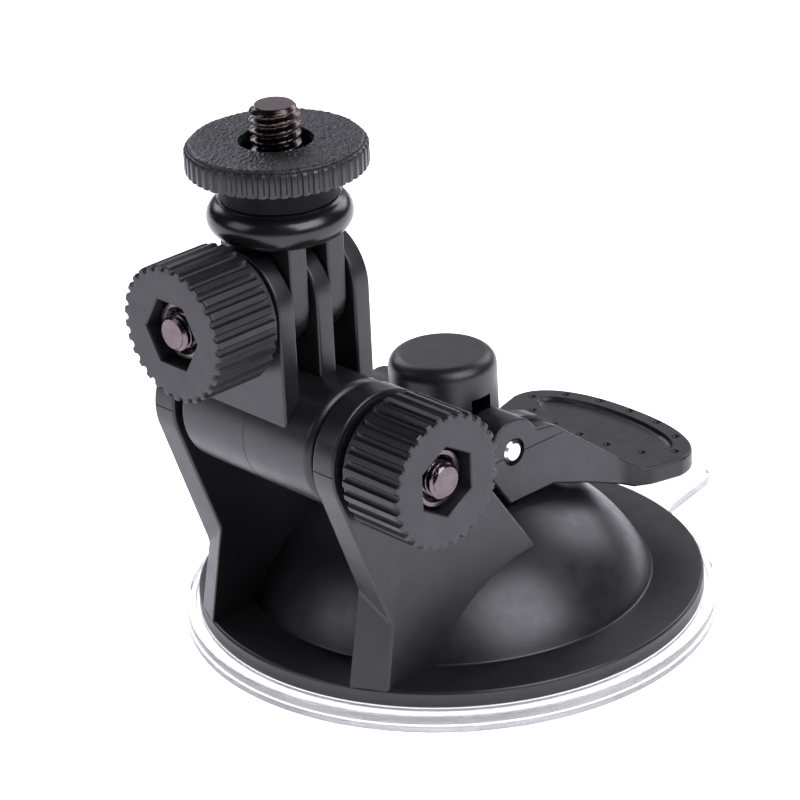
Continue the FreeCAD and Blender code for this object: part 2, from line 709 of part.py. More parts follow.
def swivel_head(doc, sheet):
    """Two ears, a rounded collar and a neck, drawn about the head's hinge."""
    body = new_body(doc, "swivel_head")
    profile = new_sketch(body, "CollarProfile", "XZ_Plane")
    outline(sheet, profile, (
        ("", "bulge_bottom"),
        ("bulge_face", "bulge_bottom", "bulge_bend", 1),
        ("bulge_radius", "bulge_middle", "bulge_bend", 1),
        ("neck_radius", "bulge_top"),
        ("neck_radius", "neck_top"),
        ("shank_radius", "neck_top"),
        ("shank_radius", "screw_foot"),
        ("", "screw_foot"),
    ))
    turned(body, "Revolution", "Collar", profile)
    ear = new_sketch(body, "TongueFace", "XZ_Plane", "tongue_near")
    outline(sheet, ear, (
        ("- tongue_half", "", "tongue_half", 1),
        ("", "- tongue_half", "tongue_half", 1),
        ("tongue_half", ""),
        ("tongue_half", "bulge_bottom + disc_gap"),
        ("- tongue_half", "bulge_bottom + disc_gap"),
    ))
    pad = feature(body, "Pad", "Tongue", ear, "tongue_wall")
    mirrored(body, "TongueTwin", pad, "XZ_Plane")
    hole = new_sketch(body, "SwivelHole", "XZ_Plane")
    circle(sheet, hole, "bolt_radius + stem_gap")
    feature(body, "Pocket", "SwivelHoleCut", hole, both_ways=True)
    place(body, y="- axis_back", z="axis_height + arm_rise")
    return body


def camera_screw(doc, sheet):
    body = new_body(doc, "camera_screw")
    profile = new_sketch(body, "ScrewProfile", "XZ_Plane")
    outline(sheet, profile, (
        ("", "screw_foot"),
        ("shank_radius", "screw_foot"),
        ("shank_radius", "shank_top"),
        ("screw_radius", "shank_top"),
        ("screw_radius", "screw_top - screw_chamfer"),
        ("screw_radius - screw_chamfer", "screw_top"),
        ("", "screw_top"),
    ))
    turned(body, "Revolution", "Screw", profile)
    place(body, y="- axis_back", z="axis_height + arm_rise")
    return body


def locking_disc(doc, sheet):
    """Serrated thumb disc with a well round the screw and a shallow seat for its pad."""
    body = new_body(doc, "locking_disc")
    profile = new_sketch(body, "DiscProfile", "XZ_Plane")
    outline(sheet, profile, (
        ("screw_radius + screw_gap", "neck_top + disc_gap"),
        ("disc_radius", "neck_top + disc_gap"),
        ("disc_radius", "disc_top"),
        ("pad_radius + disc_gap", "disc_top"),
        ("pad_radius + disc_gap", "disc_top + pad_proud - pad_wall"),
        ("disc_well", "disc_top + pad_proud - pad_wall"),
        ("disc_well", "disc_floor"),
        ("screw_radius + screw_gap", "disc_floor"),
    ))
    turned(body, "Revolution", "Disc", profile)
    tooth = new_sketch(body, "Groove", "XY_Plane", "neck_top + disc_gap")
    circle(sheet, tooth, "disc_tooth", "disc_radius")
    groove = feature(body, "Pocket", "DiscGroove", tooth, reverse=True)
    polar(body, "DiscGrooves", groove, "disc_teeth")
    place(body, y="- axis_back", z="axis_height + arm_rise")
    return body


def disc_pad(doc, sheet):
    pad = ring(doc, "disc_pad", "pad_radius", "disc_well", "pad_wall")
    place(pad, y="- axis_back", z="axis_height + arm_rise + disc_top + pad_proud - pad_wall")
    return pad


def knob(doc, sheet, label):
    """Thumb knob along its own +Z: plain collar, serrated grip, nut recess and bolt hole."""
    body = new_body(doc, label)
    grip = new_sketch(body, "Grip", "XY_Plane", "knob_step")
    circle(sheet, grip, "knob_radius")
    feature(body, "Pad", "GripPad", grip, "knob_length - knob_step")
    collar = new_sketch(body, "Collar", "XY_Plane")
    circle(sheet, collar, "knob_collar")
    feature(body, "Pad", "CollarPad", collar, "knob_step")
    recess = new_sketch(body, "NutRecess", "XY_Plane", "nut_seat")
    hexagon(sheet, recess, "recess")
    feature(body, "Pocket", "NutRecessCut", recess, reverse=True)
    hole = new_sketch(body, "BoltHole", "XY_Plane")
    circle(sheet, hole, "bolt_radius + stem_gap")
    feature(body, "Pocket", "BoltHoleCut", hole, both_ways=True)
    tooth = new_sketch(body, "Groove", "XY_Plane", "knob_step")
    circle(sheet, tooth, "knob_tooth", "knob_radius")
    groove = feature(body, "Pocket", "KnobGroove", tooth, reverse=True)
    polar(body, "KnobGrooves", groove, "knob_teeth")
    return body


def nut(doc, label):
    """Hexagon nut along its own +Z."""
    prism = doc.addObject("Part::Prism", f"{label}_blank")
    prism.Polygon = 6
    prism.setExpression("Circumradius", bound("head_corner"))
    prism.setExpression("Height", bound("nut_wall"))
    hole = cylinder(doc, f"{label}_hole", "bolt_radius + stem_gap", "nut_wall")
    return cut(doc, label, prism, hole)


def bolt(doc, sheet, label, grip):
    """Hinge bolt along its own +Z: thin hexagon head below zero, chamfered shank above."""
    body = new_body(doc, label)
    head = new_sketch(body, "Head", "XY_Plane")
    hexagon(sheet, head, "head")
    feature(body, "Pad", "HeadPad", head, "head_wall", reverse=True)
    shank = new_sketch(body, "ShankProfile", "XZ_Plane")
    outline(sheet, shank, (
        ("", "- head_wall"),
        ("bolt_radius", "- head_wall"),
        ("bolt_radius", f"{grip} - bolt_tip"),
        ("bolt_radius - bolt_tip", grip),
        ("", grip),
    ))
    turned(body, "Revolution", "Shank", shank)
    return body


def lower_hinge(doc, sheet):
    """Everything on the tilt bolt, from its head in the left cheek to the right knob."""
    along_x = Rotation(Vector(0, 1, 0), 90)
    line = {"y": "- axis_back", "z": "axis_height", "rotation": along_x}
    face = "cheek_inner + cheek_wall"
    seat = f"{face} + washer_wall + seat_gap + seat_gap"
    tilt_bolt = bolt(doc, sheet, "lower_bolt", "lower_grip")
    place(tilt_bolt, x="- cheek_inner - cheek_wall + recess_depth", **line)
    for side, start in (("left", "- cheek_inner + seat_gap"), ("right", "barrel_half + seat_gap")):
        washer = ring(doc, f"friction_washer_{side}", "friction_radius",
                      "bolt_radius + stem_gap", "friction_wall")
        place(washer, x=start, **line)
    washer = ring(doc, "lower_washer", "washer_radius", "bolt_radius + stem_gap", "washer_wall")
    place(washer, x=f"{face} + seat_gap", **line)
    place(knob(doc, sheet, "lower_knob"), x=seat, **line)
    place(nut(doc, "lower_nut"), x=f"{seat} + nut_seat", **line)


def upper_hinge(doc, sheet):
    """Everything on the head's bolt, from its head in the rear ear to the front knob."""
    to_front = Rotation(Vector(1, 0, 0), 90)
    line = {"z": "axis_height + arm_rise", "rotation": to_front}
    face = "- axis_back - ear_pitch - ear_wall_half"
    seat = f"{face} - washer_wall - seat_gap - seat_gap"
    head_bolt = bolt(doc, sheet, "upper_bolt", "upper_grip")
    place(head_bolt, y="- axis_back + ear_pitch + ear_wall_half - recess_depth", **line)
    washer = ring(doc, "upper_washer", "washer_radius", "bolt_radius + stem_gap", "washer_wall")
    place(washer, y=f"{face} - seat_gap", **line)
    place(knob(doc, sheet, "upper_knob"), y=seat, **line)
    place(nut(doc, "upper_nut"), y=f"{seat} - nut_seat", **line)


PARTS = (suction_cup, base_housing, cup_stem, stem_spring, spring_washer, lever_pin, lever,
         tilt_barrel, swivel_head, camera_screw, locking_disc, disc_pad)


def sub_parts(doc):
    """The finished pieces: bodies, cuts, and the plain pin and spring."""
    loose = ("lever_pin", "stem_spring")
    return [item for item in doc.Objects
            if item.TypeId in ("PartDesign::Body", "Part::Cut") or item.Label in loose]


def check(doc):
    for item in doc.Objects:
        if BROKEN_STATES & set(item.State):
            raise RuntimeError(f"{item.Label} did not build: {item.State}")
    for item in sub_parts(doc):
        if item.Shape.isNull() or not item.Shape.isValid() or len(item.Shape.Solids) != 1:
            raise RuntimeError(f"{item.Label} is not one valid solid")


def main():
    os.makedirs("parts", exist_ok=True)
    doc = FreeCAD.newDocument("camera_mount")
    sheet = make_sheet(doc)
    add_dimensions(sheet, "D", LEVER_SIDE)
    add_dimensions(sheet, "E", LEVER_PLAN)
    derived_dimensions(sheet)
    for make in PARTS:
        make(doc, sheet)
        doc.recompute()
    lower_hinge(doc, sheet)
    upper_hinge(doc, sheet)
    doc.recompute()
    check(doc)
    for item in sub_parts(doc):
        item.Shape.exportStep(f"parts/{item.Label}.step")
        print(f"{item.Label}: {item.Shape.Volume:.1f} cubic millimetres")


main()
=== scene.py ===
import math

import bmesh
import bpy
from mathutils import Matrix, Vector, noise


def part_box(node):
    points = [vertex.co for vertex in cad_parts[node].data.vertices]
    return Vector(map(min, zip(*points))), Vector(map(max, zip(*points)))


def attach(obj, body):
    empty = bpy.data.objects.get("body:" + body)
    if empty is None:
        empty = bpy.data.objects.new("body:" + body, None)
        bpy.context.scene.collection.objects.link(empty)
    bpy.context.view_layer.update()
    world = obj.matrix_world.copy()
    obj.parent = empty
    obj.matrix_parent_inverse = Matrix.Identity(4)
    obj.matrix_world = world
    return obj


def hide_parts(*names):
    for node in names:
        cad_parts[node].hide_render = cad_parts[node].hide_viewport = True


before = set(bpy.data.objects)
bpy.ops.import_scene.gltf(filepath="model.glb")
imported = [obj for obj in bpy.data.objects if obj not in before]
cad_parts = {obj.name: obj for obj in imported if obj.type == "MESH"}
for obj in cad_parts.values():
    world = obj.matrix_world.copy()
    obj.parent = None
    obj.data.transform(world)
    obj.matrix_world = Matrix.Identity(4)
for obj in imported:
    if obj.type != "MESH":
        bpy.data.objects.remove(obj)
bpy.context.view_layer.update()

# Lengths in the piece functions are millimetres; the scene is in metres.
MM = 0.001
TURN = 2 * math.pi
ALONG_X = Matrix.Rotation(math.radians(90), 4, "Y")
TO_FRONT = Matrix.Rotation(math.radians(90), 4, "X")


def middle(node):
    low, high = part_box(node)
    return (low + high) / 2


TILT = Vector((0, middle("lower_knob").y, middle("lower_knob").z))
SWIVEL = Vector((0, TILT.y, middle("upper_knob").z))
AT_TILT = Matrix.Translation(TILT)
AT_SWIVEL = Matrix.Translation(SWIVEL)
PIN = Matrix.Translation(Vector((0, 0, middle("lever_pin").z)))
BOLT_HOLE = 2.56
NUT_FLATS = 8.0
RECESS_FLATS = 8.16
BOLT_HEAD_WALL = 1.4
AXIS = 0.05


# ---------------------------------------------------------------- outlines and skins

def rounded(corners, closed=True, step=9):
    """Outline through corners (x, y[, radius]); a radius turns the corner into an arc."""
    points = []
    last = len(corners) - 1
    for index, corner in enumerate(corners):
        spot = Vector(corner[:2])
        radius = corner[2] if len(corner) > 2 else 0
        if not radius or (not closed and index in (0, last)):
            points.append(spot)
            continue
        back = (Vector(corners[index - 1][:2]) - spot).normalized()
        ahead = (Vector(corners[(index + 1) % len(corners)][:2]) - spot).normalized()
        opening = back.angle(ahead)
        centre = spot + (back + ahead).normalized() * (radius / math.sin(opening / 2))
        start = spot + back * (radius / math.tan(opening / 2)) - centre
        sweep = math.pi - opening
        if back.x * ahead.y - back.y * ahead.x > 0:
            sweep = -sweep
        count = max(2, math.ceil(math.degrees(abs(sweep)) / step))
        for part in range(count + 1):
            points.append(centre + Matrix.Rotation(sweep * part / count, 2) @ start)
    return points


def arc(x, y, radius, start, end, count=24):
    """Points of an arc, with its angles in degrees."""
    angles = [math.radians(start + (end - start) * k / count) for k in range(count + 1)]
    return [Vector((x + radius * math.cos(a), y + radius * math.sin(a))) for a in angles]


def touch(corner, centre, radius, side):
    """Angle, in degrees, at which a line from a corner touches a circle."""
    away = Vector(corner) - Vector(centre)
    swing = math.acos(radius / away.length)
    return math.degrees(math.atan2(away.y, away.x) + side * swing)


def skin(rings, closed):
    """Points and faces through rings of equally many points, joined up or capped."""
    count = len(rings[0])
    points = [point for ring in rings for point in ring]
    faces = []
    for index in range(len(rings) - (0 if closed else 1)):
        low = index * count
        high = (index + 1) % len(rings) * count
        for k in range(count):
            after = (k + 1) % count
            faces.append((low + k, low + after, high + after, high + k))
    if not closed:
        faces.append(tuple(range(count)))
        faces.append(tuple(range(len(points) - count, len(points))))
    return points, faces


def ring_of(radius, height, count):
    """A ring whose radius is a number or a function of the angle."""
    ring = []
    for k in range(count):
        angle = TURN * k / count
        reach = radius(angle) if callable(radius) else radius
        ring.append((reach * math.cos(angle), reach * math.sin(angle), height))
    return ring


def turned(profile, count=160, closed=True):
    """Skin of a profile (radius, height) turned round Z."""
    return skin([ring_of(point[0], point[1], count) for point in profile], closed)


def plate(outline, low, high):
    """Skin of an outline between two heights."""
    return skin([[(p[0], p[1], z) for p in outline] for z in (low, high)], False)


def round_bar(radius, low, high, count=64):
    """Skin of a solid cylinder along Z, from just off its axis outwards."""
    return turned([(AXIS, low), (radius, low), (radius, high), (AXIS, high)], count, False)


def box_skin(x, y, z):
    """Skin of a box given by its three ranges."""
    corners = ((x[0], y[0]), (x[1], y[0]), (x[1], y[1]), (x[0], y[1]))
    return plate(corners, *z)


def tooth_valley(count, depth, width):
    """Radius taken away by round valleys, as a function of the angle."""
    def taken(angle):
        phase = (angle * count / TURN + 0.5) % 1 - 0.5
        across = abs(phase) / (width / 2)
        return depth * math.sqrt(1 - across * across) if across < 1 else 0
    return taken


def hexagon_reach(flats):
    """Radius of a hexagon with corners on the first axis, as a function of the angle."""
    def reach(angle):
        side = angle % math.radians(60) - math.radians(30)
        return flats / 2 / math.cos(side)
    return reach


def threaded(radius, pitch, depth, low, high, tip, steps=14, count=72):
    """Rings of a right-hand thread with flat crests and a chamfered tip."""
    rings = []
    levels = math.ceil((high - low) / pitch * steps)
    for level in range(levels + 1):
        height = low + (high - low) * level / levels
        chamfer = radius - max(0, tip - (high - height))

        def reach(angle, height=height, chamfer=chamfer):
            phase = (height / pitch - angle / TURN) % 1
            slope = abs(phase - 0.5) * 2
            groove = min(max((slope - 0.24) / 0.56, 0), 1)
            return min(radius - depth * groove, chamfer)
        rings.append(ring_of(reach, height, count))
    return rings


# ---------------------------------------------------------------- pieces

def to_mesh(name, shape, place=Matrix()):
    """Mesh of points in millimetres, moved to its place in metres, facing outwards."""
    points, faces = shape
    mesh = bpy.data.meshes.new(name)
    mesh.from_pydata([place @ (Vector(point) * MM) for point in points], [], faces)
    edit = bmesh.new()
    edit.from_mesh(mesh)
    bmesh.ops.recalc_face_normals(edit, faces=edit.faces)
    edit.to_mesh(mesh)
    edit.free()
    return mesh


def solid(name, shape, place=Matrix()):
    piece = bpy.data.objects.new(name, to_mesh(name, shape, place))
    bpy.context.scene.collection.objects.link(piece)
    return piece


def settle(piece):
    """Make the result of a piece's modifiers its mesh."""
    graph = bpy.context.evaluated_depsgraph_get()
    mesh = bpy.data.meshes.new_from_object(piece.evaluated_get(graph))
    piece.modifiers.clear()
    old = piece.data
    piece.data = mesh
    bpy.data.meshes.remove(old)


def combine(piece, shapes, operation="DIFFERENCE", place=Matrix()):
    """Cut shapes out of a piece, or keep only what lies in them."""
    for shape in shapes:
        tool = solid("tool", shape, place)
        change = piece.modifiers.new("cut", "BOOLEAN")
        change.operation = operation
        change.solver = "EXACT"
        change.object = tool
        settle(piece)
        bpy.data.objects.remove(tool)


def soften(piece, width, angle=35, segments=3):
    """Round a piece's edges."""
    edge = piece.modifiers.new("edges", "BEVEL")
    edge.width = width * MM
    edge.segments = segments
    edge.limit_method = "ANGLE"
    edge.angle_limit = math.radians(angle)
    edge.miter_outer = "MITER_ARC"
    settle(piece)


def present(piece, material, body, nodes=(), sharp=38):
    """Shade a piece, give it its material and body, and hide the nodes it stands for."""
    mesh = piece.data
    mesh.materials.clear()
    mesh.materials.append(material)
    mesh.polygons.foreach_set("use_smooth", [True] * len(mesh.polygons))
    mesh.set_sharp_from_angle(angle=math.radians(sharp))
    weight = piece.modifiers.new("normals", "WEIGHTED_NORMAL")
    weight.keep_sharp = True
    settle(piece)
    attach(piece, body)
    if nodes:
        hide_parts(*nodes)
    return piece


# ---------------------------------------------------------------- materials

def node(tree, kind, **inputs):
    """A shader node with some of its inputs set; a socket is linked."""
    made = tree.nodes.new(kind)
    for name, value in inputs.items():
        socket = made.inputs[name.replace("_", " ")]
        if isinstance(value, bpy.types.NodeSocket):
            tree.links.new(value, socket)
        else:
            socket.default_value = value
    return made


def noise_at(tree, place, scale, detail=3.0, roughness=0.55):
    made = node(tree, "ShaderNodeTexNoise", Vector=place, Scale=scale, Detail=detail,
                Roughness=roughness)
    return made.outputs["Fac"]


def spread(tree, value, low, high, start=0.3, end=0.7):
    """Map a noise value from its usual range to low..high."""
    made = node(tree, "ShaderNodeMapRange", Value=value, From_Min=start, From_Max=end,
                To_Min=low, To_Max=high)
    return made.outputs["Result"]


def two_tones(tree, value, dark, light):
    ramp = tree.nodes.new("ShaderNodeValToRGB")
    ramp.color_ramp.elements[0].position = 0.3
    ramp.color_ramp.elements[1].position = 0.7
    ramp.color_ramp.elements[0].color = (*dark, 1)
    ramp.color_ramp.elements[1].color = (*light, 1)
    tree.links.new(value, ramp.inputs["Fac"])
    return ramp.outputs["Color"]


def raised(tree, height, distance, strength=1.0, normal=None):
    made = node(tree, "ShaderNodeBump", Height=height, Distance=distance * MM,
                Strength=strength)
    if normal:
        tree.links.new(normal, made.inputs["Normal"])
    return made.outputs["Normal"]


def blank(name):
    """An empty node material: its tree, its shader and the object's coordinates."""
    material = bpy.data.materials.new(name)
    material.use_nodes = True
    tree = material.node_tree
    shader = tree.nodes["Principled BSDF"]
    place = tree.nodes.new("ShaderNodeTexCoord").outputs["Object"]
    return material, tree, shader, place


def plastic(name, tone, rough, grain, depth, tint=(1.0, 1.02, 1.08), gloss=0.5):
    """Moulded plastic: fine grain, orange peel, slow changes of tone and sheen."""
    material, tree, shader, place = blank(name)
    slow = noise_at(tree, place, 90)
    light = [tone * 1.16 * part for part in tint]
    dark = [tone * 0.86 * part for part in tint]
    tree.links.new(two_tones(tree, slow, dark, light), shader.inputs["Base Color"])
    fine = noise_at(tree, place, 1000 / grain, detail=2)
    patchy = noise_at(tree, place, 420, detail=4)
    mixed = node(tree, "ShaderNodeMath")
    mixed.operation = "MULTIPLY_ADD"
    tree.links.new(fine, mixed.inputs[0])
    mixed.inputs[1].default_value = 0.35
    tree.links.new(patchy, mixed.inputs[2])
    sheen = spread(tree, mixed.outputs["Value"], rough * 0.86, rough * 1.14, 0.45, 0.9)
    tree.links.new(sheen, shader.inputs["Roughness"])
    orange_peel = raised(tree, patchy, depth * 1.6, 0.5)
    tree.links.new(raised(tree, fine, depth, 0.8, orange_peel), shader.inputs["Normal"])
    shader.inputs["Specular IOR Level"].default_value = gloss
    return material


def metal(name, tone, rough):
    """Plated steel with a fine uneven surface."""
    material, tree, shader, place = blank(name)
    slow = noise_at(tree, place, 500, detail=4)
    dark = [part * 0.72 for part in tone]
    tree.links.new(two_tones(tree, slow, dark, tone), shader.inputs["Base Color"])
    shader.inputs["Metallic"].default_value = 1.0
    fine = noise_at(tree, place, 5000, detail=2)
    tree.links.new(spread(tree, fine, rough * 0.7, rough * 1.35), shader.inputs["Roughness"])
    tree.links.new(raised(tree, fine, 0.004, 0.3), shader.inputs["Normal"])
    return material


def grained_rubber(name):
    """Black pad with a leather-like grain of small cells between creases."""
    material, tree, shader, place = blank(name)
    slow = noise_at(tree, place, 300)
    tree.links.new(two_tones(tree, slow, (0.009, 0.009, 0.010), (0.016, 0.016, 0.018)),
                   shader.inputs["Base Color"])
    cells = node(tree, "ShaderNodeTexVoronoi", Vector=place, Scale=2300)
    cells.feature = "DISTANCE_TO_EDGE"
    crease = spread(tree, cells.outputs["Distance"], 0, 1, 0.0, 0.25)
    fine = noise_at(tree, place, 4000)
    worn = raised(tree, crease, 0.05, 0.6)
    tree.links.new(raised(tree, fine, 0.01, 0.5, worn), shader.inputs["Normal"])
    tree.links.new(spread(tree, crease, 0.45, 0.28, 0, 1), shader.inputs["Roughness"])
    return material


def clear_plastic(name):
    """Soft clear polyurethane, a little yellow, with faint ripples and handling haze."""
    material, tree, shader, place = blank(name)
    haze = noise_at(tree, place, 160, detail=4)
    tree.links.new(two_tones(tree, haze, (0.94, 0.94, 0.91), (0.98, 0.98, 0.96)),
                   shader.inputs["Base Color"])
    tree.links.new(spread(tree, haze, 0.10, 0.22), shader.inputs["Roughness"])
    shader.inputs["Transmission Weight"].default_value = 0.85
    shader.inputs["IOR"].default_value = 1.2
    ripple = noise_at(tree, place, 240, detail=2)
    tree.links.new(raised(tree, ripple, 0.06, 0.4), shader.inputs["Normal"])
    return material


SATIN = plastic("satin_black", 0.008, 0.36, 0.30, 0.010)
LEVER_SATIN = plastic("lever_black", 0.009, 0.40, 0.26, 0.012)
KNOB_MATTE = plastic("knob_black", 0.010, 0.44, 0.22, 0.012, (0.97, 1.0, 1.1))
GLOSSY = plastic("collar_black", 0.006, 0.24, 0.45, 0.010)
DISC_SATIN = plastic("disc_black", 0.012, 0.36, 0.24, 0.010, (1.0, 1.0, 1.05))
# Black plastic of the neck, rough and with little reflection: painted shade, standing in for the
# shade under the disc's overhang.
NECK_PAINTED_SHADE = plastic("neck_black_painted_shade", 0.006, 0.62, 0.30, 0.010, gloss=0.12)
INNER = plastic("inner_black", 0.012, 0.50, 0.30, 0.010)
FIBRE = plastic("washer_fibre", 0.014, 0.75, 0.12, 0.020)
PAD_GRAIN = grained_rubber("pad_grain")
CLEAR = clear_plastic("clear_cup")
DARK_STEEL = metal("dark_steel", (0.10, 0.078, 0.075), 0.22)
NICKEL = metal("black_nickel", (0.155, 0.125, 0.13), 0.22)
BRIGHT = metal("bright_steel", (0.86, 0.86, 0.85), 0.24)
WIRE = metal("spring_wire", (0.50, 0.50, 0.50), 0.30)


# ---------------------------------------------------------------- cup and base

def clear_cup():
    """Soft cup with a stepped rim, drawn up in the middle as it is when locked."""
    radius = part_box("suction_cup")[1].x / MM
    profile = rounded([
        (0.3, 2.4), (13.0, 2.4, 4), (27.0, 0.0, 4),
        (radius, 0.0, 0.35), (radius, 0.95, 0.25), (radius - 0.45, 1.1, 0.1),
        (radius - 0.45, 1.35, 0.1), (radius - 0.1, 1.5, 0.2), (radius - 0.15, 2.5, 0.5),
        (radius - 1.3, 2.5, 0.15), (radius - 1.45, 2.2, 0.15), (radius - 1.8, 2.2, 0.15),
        (radius - 1.95, 2.5, 0.1), (27.0, 2.5, 4), (13.0, 4.9, 4), (0.3, 4.9),
    ], closed=False)
    cup = solid("clear_cup", turned(profile, 288, closed=False))
    present(cup, CLEAR, "base", ["suction_cup"])
    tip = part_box("suction_cup")[1].y / MM
    pull_tab(radius - 1.4, tip)


def pull_tab(root, tip):
    """Thin tab that leaves the rim and lifts towards its tip."""
    half, wall, rise = 6.1, 1.5, 2.5
    outline = rounded([(-half - 1.2, root), (half + 1.2, root), (half, root + 3, 2.5),
                       (half, tip, 2.2), (-half, tip, 2.2), (-half, root + 3, 2.5)])
    tab = solid("pull_tab", plate(outline, 0.6, 0.6 + wall))
    soften(tab, 0.25)
    for point in tab.data.vertices:
        along = max(0, point.co.y / MM - root) / (tip - root)
        point.co.z += rise * along * MM
    present(tab, CLEAR, "base")


def dome_slope(foot_radius, foot, top_radius, top, bend):
    """Points of the bulging slope between the ring and the shoulder, ends left out."""
    start, end = Vector((foot_radius, foot)), Vector((top_radius, top))
    chord = end - start
    out = Vector((chord.y, -chord.x)).normalized()
    centre = (start + end) / 2 - out * math.sqrt(bend ** 2 - (chord.length / 2) ** 2)
    first = start - centre
    sweep = first.angle(end - centre)
    steps = 16
    points = [centre + Matrix.Rotation(sweep * k / steps, 2) @ first for k in range(1, steps)]
    return [(p.x, p.y) for p in points] + [(end.x, end.y, 2.5)]


def housing():
    """Ring, dome and tower turned as one, with the slot that the lever's pin rides in."""
    top = 37.1
    profile = rounded([
        (0.3, 34.9), (4.06, 34.9), (4.06, 16.0), (12.2, 16.0), (14.9, 13.4), (24.6, 4.9),
        (27.3, 2.6), (33.9, 2.6, 0.25), (33.9, 4.9, 0.45), (26.9, 4.9, 0.4),
        *dome_slope(26.9, 4.9, 16.9, 15.3, 23.0), (11.5, 18.2, 1.2), (7.3, 18.2, 0.5),
        (7.15, top, 1.9), (0.3, top),
    ], closed=False, step=6)
    dome = solid("dome_and_tower", turned(profile, 256, closed=False))
    combine(dome, [box_skin((-10, 10), (-1.7, 1.7), (21.2, 32.5))])
    present(dome, SATIN, "base", ["base_housing"], sharp=30)


EYE = (TILT.y / MM, TILT.z / MM)
EYE_RADIUS = 8.7
CHEEK = (13.0, 16.9)
HEEL = (-1.3, 15.1)
NOTCHES = {CHEEK[0]: (-28.8, 17.7), CHEEK[1]: (-27.25, 13.6)}
DRAFT = 0.03
DRAFT_TOP = 34.0


def outer_face(height):
    """The cheeks' outer faces lean outwards towards the ring."""
    return CHEEK[1] + DRAFT * (DRAFT_TOP - height)


def cheek_section(across):
    """Side outline of a cheek's inner or outer face; the foot follows the ring."""
    notch = NOTCHES[across]
    rear = touch(HEEL, EYE, EYE_RADIUS, 1)
    front = touch(notch, EYE, EYE_RADIUS, -1)
    rim = arc(*EYE, EYE_RADIUS, rear, front + 360 if front < rear else front, 40)
    reach = across if across == CHEEK[0] else outer_face(4.9)
    foot = math.sqrt(33.88 ** 2 - reach ** 2)
    return [*rim, Vector(notch), Vector((-foot, 4.9)), Vector((-foot, 3.0)), Vector((-22, 3.0)),
            Vector((HEEL[0], 9.0)), Vector(HEEL)]


def cheeks():
    """The two cheeks, each with a round seat for the hinge and a fine parting line."""
    centre = Matrix.Translation((0, TILT.y, TILT.z)) @ ALONG_X
    for side, name in ((1, "cheek_right"), (-1, "cheek_left")):
        inner, outer = (cheek_section(x) for x in CHEEK)
        rings = [[(side * CHEEK[0], p.x, p.y) for p in inner],
                 [(side * outer_face(p.y), p.x, p.y) for p in outer]]
        cheek = solid(name, skin(rings, False))
        soften(cheek, 0.4)
        ends = sorted((side * 15.5, side * CHEEK[1]))
        seat = round_bar(8.1, *ends, 96)
        combine(cheek, [seat], "UNION", centre)
        combine(cheek, [round_bar(BOLT_HOLE, -20, 20)], place=centre)
        if side < 0:
            flats = hexagon_reach(RECESS_FLATS)
            recess = skin([ring_of(flats, z, 120) for z in (-20, -CHEEK[1] + 1.5)], False)
            combine(cheek, [recess], place=centre)
        line = box_skin((12, 18), (EYE[0] - 9, EYE[0] - EYE_RADIUS + 0.12),
                        (EYE[1] - 0.07, EYE[1] + 0.07))
        mirror = Matrix.Scale(side, 4, (1, 0, 0))
        combine(cheek, [line], place=mirror)
        present(cheek, SATIN, "base")


# ---------------------------------------------------------------- lever

def paddle_dish():
    """Shallow oval hollow with a rounded floor, sunk in the paddle's face."""
    rings = []
    for share, depth in ((0.3, -0.72), (0.84, -0.68), (0.95, -0.56), (0.985, -0.36),
                         (1.0, -0.1), (1.02, 0.04), (1.02, 0.6)):
        ring = ring_of(1, 15.8 + depth, 120)
        rings.append([(x * 12.2 * share, 30.3 + y * (3.9 - 3 * (1 - share)), z) for x, y, z in ring])
    return skin(rings, False)


def paddle_dimples():
    """Small round marks along the paddle's rim."""
    spots = ((13.5, 30.0), (10.4, 33.5), (5.4, 35.2), (5.0, 25.5), (10.3, 26.8))
    places = [(0, 35.4), (0, 25.4)] + [(side * x, y) for x, y in spots for side in (1, -1)]
    shapes = []
    for x, y in places:
        rings = [ring_of(radius, 15.8 + height, 24) for radius, height in
                 ((0.15, -0.34), (0.36, -0.3), (0.5, -0.16), (0.56, 0.02), (0.56, 1.2))]
        shapes.append(skin([[(x + p[0], y + p[1], p[2]) for p in ring] for ring in rings], False))
    return shapes


def oval(wide, deep, centre, power, angle):
    """Point of a squarish oval round (0, centre)."""
    across, along = math.cos(angle), math.sin(angle)
    return (wide * max(across, 0) ** (2 / power), centre + deep * along ** (2 / power))


